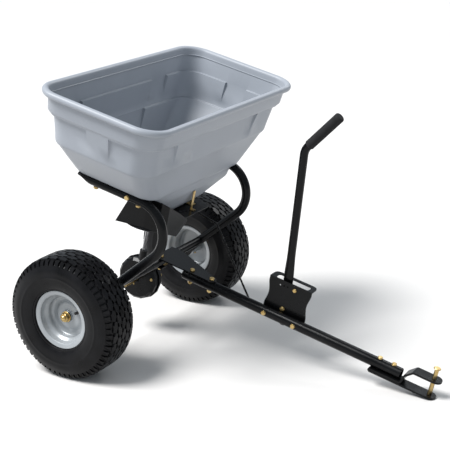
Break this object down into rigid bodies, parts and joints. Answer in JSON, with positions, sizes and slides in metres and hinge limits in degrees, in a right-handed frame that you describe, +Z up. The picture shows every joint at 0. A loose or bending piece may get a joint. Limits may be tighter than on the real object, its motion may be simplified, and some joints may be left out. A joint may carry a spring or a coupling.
{
  "type": "tow behind spreader",
  "caption": "Tow-behind broadcast spreader: open plastic hopper on tube hoops, two turf wheels, axle-driven impeller, gate lever and pinned clevis hitch, parked nose down.",
  "frame": {"origin": "middle of the underside of the object's box, on the ground", "axes": "+X towards the hitch, +Y to the left of travel, +Z up"},
  "size_m": [1.186, 0.826, 0.8583],
  "materials": {
    "hopper_poly": "moulded grey polyethylene, satin",
    "black_coat": "black powder coat, semi-gloss",
    "rim_paint": "light grey paint",
    "tyre_rubber": "black rubber",
    "yellow_zinc": "yellow zinc plate",
    "nylon": "black moulded nylon",
    "plain_steel": "bare machined steel",
    "grip_foam": "closed-cell foam"
  },
  "bodies": {
    "frame": {"hopper": "hopper_poly", "right_hoop": "black_coat", "left_hoop": "black_coat", "cross_tube": "black_coat", "tow_plate": "black_coat", "tow_tube": "black_coat", "hitch_lower_strap": "black_coat", "hitch_upper_strap": "black_coat", "hitch_bolt_rear": "yellow_zinc", "hitch_bolt_front": "yellow_zinc", "plate_bolt_rear": "yellow_zinc", "plate_bolt_front": "yellow_zinc", "cross_bolt": "yellow_zinc", "lever_bracket": "black_coat", "bracket_bolt_rear": "yellow_zinc", "bracket_bolt_front": "yellow_zinc", "lever_pivot_bolt": "yellow_zinc", "lever_stop_bolt": "yellow_zinc", "outlet_plate": "black_coat", "outlet_screw_1": "yellow_zinc", "outlet_screw_2": "yellow_zinc", "outlet_hanger": "yellow_zinc", "deflector": "black_coat", "deflector_bolt": "yellow_zinc", "right_hopper_bolt_rear": "yellow_zinc", "right_hopper_bolt_front": "yellow_zinc", "left_hopper_bolt_rear": "yellow_zinc", "left_hopper_bolt_front": "yellow_zinc", "gear_case_right": "black_coat", "gear_case_left": "black_coat", "gear_case_screw_1": "yellow_zinc", "gear_case_screw_2": "yellow_zinc", "right_axle_bushing": "nylon", "left_axle_bushing": "nylon", "lower_shaft_bushing": "nylon", "upper_shaft_bushing": "nylon"},
    "axle": {"axle": "yellow_zinc", "axle_pin": "yellow_zinc", "drive_pin": "yellow_zinc", "ring_gear": "plain_steel", "left_tyre": "tyre_rubber", "left_rim": "rim_paint", "left_valve_stem": "nylon", "left_wheel_washer": "yellow_zinc", "left_wheel_nut": "yellow_zinc", "right_wheel_washer": "yellow_zinc", "right_wheel_nut": "yellow_zinc"},
    "right_wheel": {"right_tyre": "tyre_rubber", "right_rim": "rim_paint", "right_valve_stem": "nylon", "right_wheel_bushing": "nylon"},
    "impeller": {"impeller": "nylon", "impeller_shaft": "plain_steel", "pinion": "plain_steel", "agitator_pin": "plain_steel"},
    "lever": {"lever": "black_coat", "lever_grip": "grip_foam"},
    "gate": {"gate": "yellow_zinc", "control_rod": "black_coat"},
    "hitch_pin": {"hitch_pin": "yellow_zinc"}
  },
  "joints": [
    {"name": "axle_spin", "type": "hinge", "parent": "frame", "child": "axle", "pos_m": [-0.4103, 0, 0.184], "axis": [0, 1, 0], "continuous": true},
    {"name": "right_wheel_spin", "type": "hinge", "parent": "axle", "child": "right_wheel", "pos_m": [-0.4103, -0.343, 0.184], "axis": [0, 1, 0], "continuous": true},
    {"name": "impeller_spin", "type": "hinge", "parent": "frame", "child": "impeller", "pos_m": [-0.35124, 0, 0.42692], "axis": [0.2362, 0, 0.9717], "continuous": true},
    {"name": "lever_swing", "type": "hinge", "parent": "frame", "child": "lever", "pos_m": [0.08822, 0.0326, 0.1688], "axis": [0, 1, 0], "range_deg": [0, 10.1]},
    {"name": "gate_slide", "type": "slide", "parent": "frame", "child": "gate", "axis": [-0.9717, 0, 0.2362], "range_m": [0, 0.0083]},
    {"name": "hitch_pin_lift", "type": "slide", "parent": "frame", "child": "hitch_pin", "axis": [0.2362, 0, 0.9717], "range_m": [0, 0.056]}
  ],
  "couplings": [
    {"joint": "impeller_spin", "follows": "axle_spin", "ratio": -4},
    {"joint": "gate_slide", "follows": "lever_swing", "m_per_rad": 0.0459}
  ]
}
